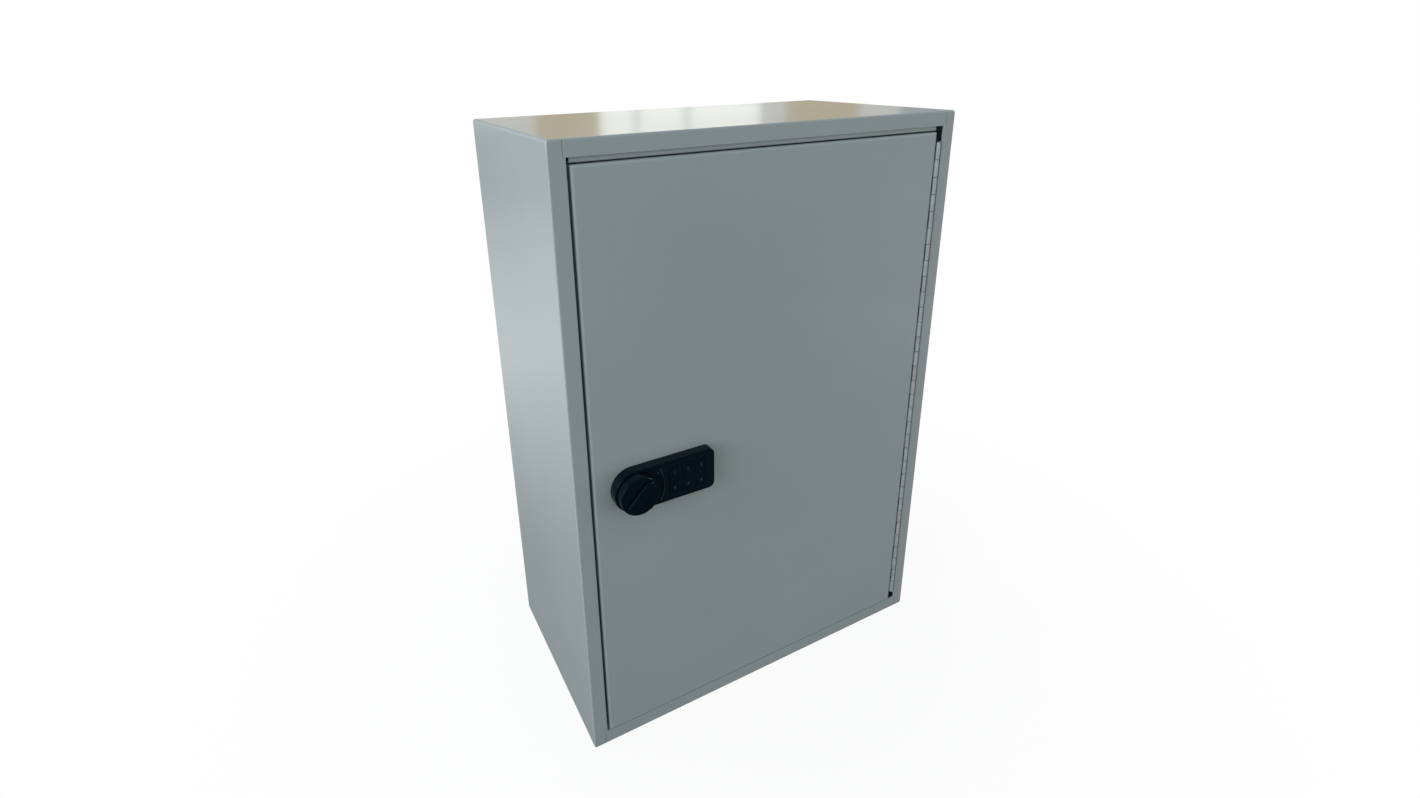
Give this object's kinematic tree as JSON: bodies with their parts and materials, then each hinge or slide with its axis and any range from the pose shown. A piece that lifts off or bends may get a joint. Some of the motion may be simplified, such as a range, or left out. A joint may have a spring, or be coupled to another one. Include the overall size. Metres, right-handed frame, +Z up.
{
  "type": "key cabinet",
  "caption": "Deep wall key cabinet in folded sheet steel with an inset door on a full-length hinge, a keypad knob lock with cam, and numbered hook bars inside.",
  "frame": {"origin": "centre of the base, on the underside of the floor, midway between the sides and between the front frame and the back", "axes": "+Z up; the door and the lock face -Y; +X is to the right seen from the front, where the hinge is"},
  "size_m": [0.38, 0.2254, 0.55],
  "materials": {
    "grey_paint": "semi-gloss powder coat",
    "bar_paint": "satin powder coat",
    "plated_steel": "zinc plated",
    "zinc_casting": "cast and tumbled",
    "black_plastic": "fine texture",
    "black_gloss": "satin overlay",
    "key_rubber": "soft touch",
    "black_rubber": "matt",
    "white_plastic": "satin",
    "board": "solder mask",
    "coil_plastic": "moulded",
    "lens": "smoked and polished"
  },
  "bodies": {
    "cabinet": {"body_wrap": "grey_paint", "back_panel": "grey_paint", "top_stop": "grey_paint", "bottom_stop": "grey_paint", "door_buffers": "black_rubber", "hinge_leaf_frame": "grey_paint", "hinge_pin": "plated_steel", "upright_left": "bar_paint", "upright_right": "bar_paint", "hook_bar_1": "bar_paint", "hooks_1": "plated_steel", "number_strip_1": "white_plastic", "hook_bar_2": "bar_paint", "hooks_2": "plated_steel", "number_strip_2": "white_plastic", "hook_bar_3": "bar_paint", "hooks_3": "plated_steel", "number_strip_3": "white_plastic", "hook_bar_4": "bar_paint", "hooks_4": "plated_steel", "number_strip_4": "white_plastic", "hook_bar_5": "bar_paint", "hooks_5": "plated_steel", "number_strip_5": "white_plastic"},
    "door": {"door_panel": "grey_paint", "door_stiffener": "grey_paint", "hinge_leaf_door": "grey_paint", "lock_housing": "black_plastic", "lock_gasket": "black_rubber", "lock_base_plate": "zinc_casting", "housing_screws": "plated_steel", "keypad_fascia": "black_gloss", "keypad_mat": "black_rubber", "circuit_board": "board", "dome_switches": "plated_steel", "coin_cell": "plated_steel", "battery_clip": "plated_steel", "led_lens": "lens", "lock_sleeve": "zinc_casting", "sleeve_washer": "zinc_casting", "sleeve_nut": "zinc_casting", "blocking_solenoid": "coil_plastic"},
    "knob": {"knob": "black_plastic", "lock_spindle": "zinc_casting", "lock_cam": "plated_steel", "cam_washer": "plated_steel", "cam_nut": "plated_steel"},
    "blocking_pin": {"blocking_pin": "plated_steel"},
    "key_1": {"key_1": "key_rubber"},
    "key_2": {"key_2": "key_rubber"},
    "key_3": {"key_3": "key_rubber"},
    "key_4": {"key_4": "key_rubber"},
    "key_5": {"key_5": "key_rubber"},
    "key_6": {"key_6": "key_rubber"}
  },
  "joints": [
    {"name": "door_hinge", "type": "hinge", "parent": "cabinet", "child": "door", "pos_m": [0.17306, -0.10235, 0.2734], "axis": [0, 0, 1], "range_deg": [0, 170]},
    {"name": "knob_turn", "type": "hinge", "parent": "door", "child": "knob", "pos_m": [-0.1405, -0.1025, 0.2679], "axis": [0, 1, 0], "range_deg": [0, 90]},
    {"name": "pin_slide", "type": "slide", "parent": "door", "child": "blocking_pin", "axis": [-1, 0, 0], "range_m": [0, 0.0022]},
    {"name": "key_1_press", "type": "slide", "parent": "door", "child": "key_1", "axis": [0, 1, 0], "range_m": [0, 0.0006], "stiffness_N_per_m": 1500},
    {"name": "key_2_press", "type": "slide", "parent": "door", "child": "key_2", "axis": [0, 1, 0], "range_m": [0, 0.0006], "stiffness_N_per_m": 1500},
    {"name": "key_3_press", "type": "slide", "parent": "door", "child": "key_3", "axis": [0, 1, 0], "range_m": [0, 0.0006], "stiffness_N_per_m": 1500},
    {"name": "key_4_press", "type": "slide", "parent": "door", "child": "key_4", "axis": [0, 1, 0], "range_m": [0, 0.0006], "stiffness_N_per_m": 1500},
    {"name": "key_5_press", "type": "slide", "parent": "door", "child": "key_5", "axis": [0, 1, 0], "range_m": [0, 0.0006], "stiffness_N_per_m": 1500},
    {"name": "key_6_press", "type": "slide", "parent": "door", "child": "key_6", "axis": [0, 1, 0], "range_m": [0, 0.0006], "stiffness_N_per_m": 1500}
  ]
}
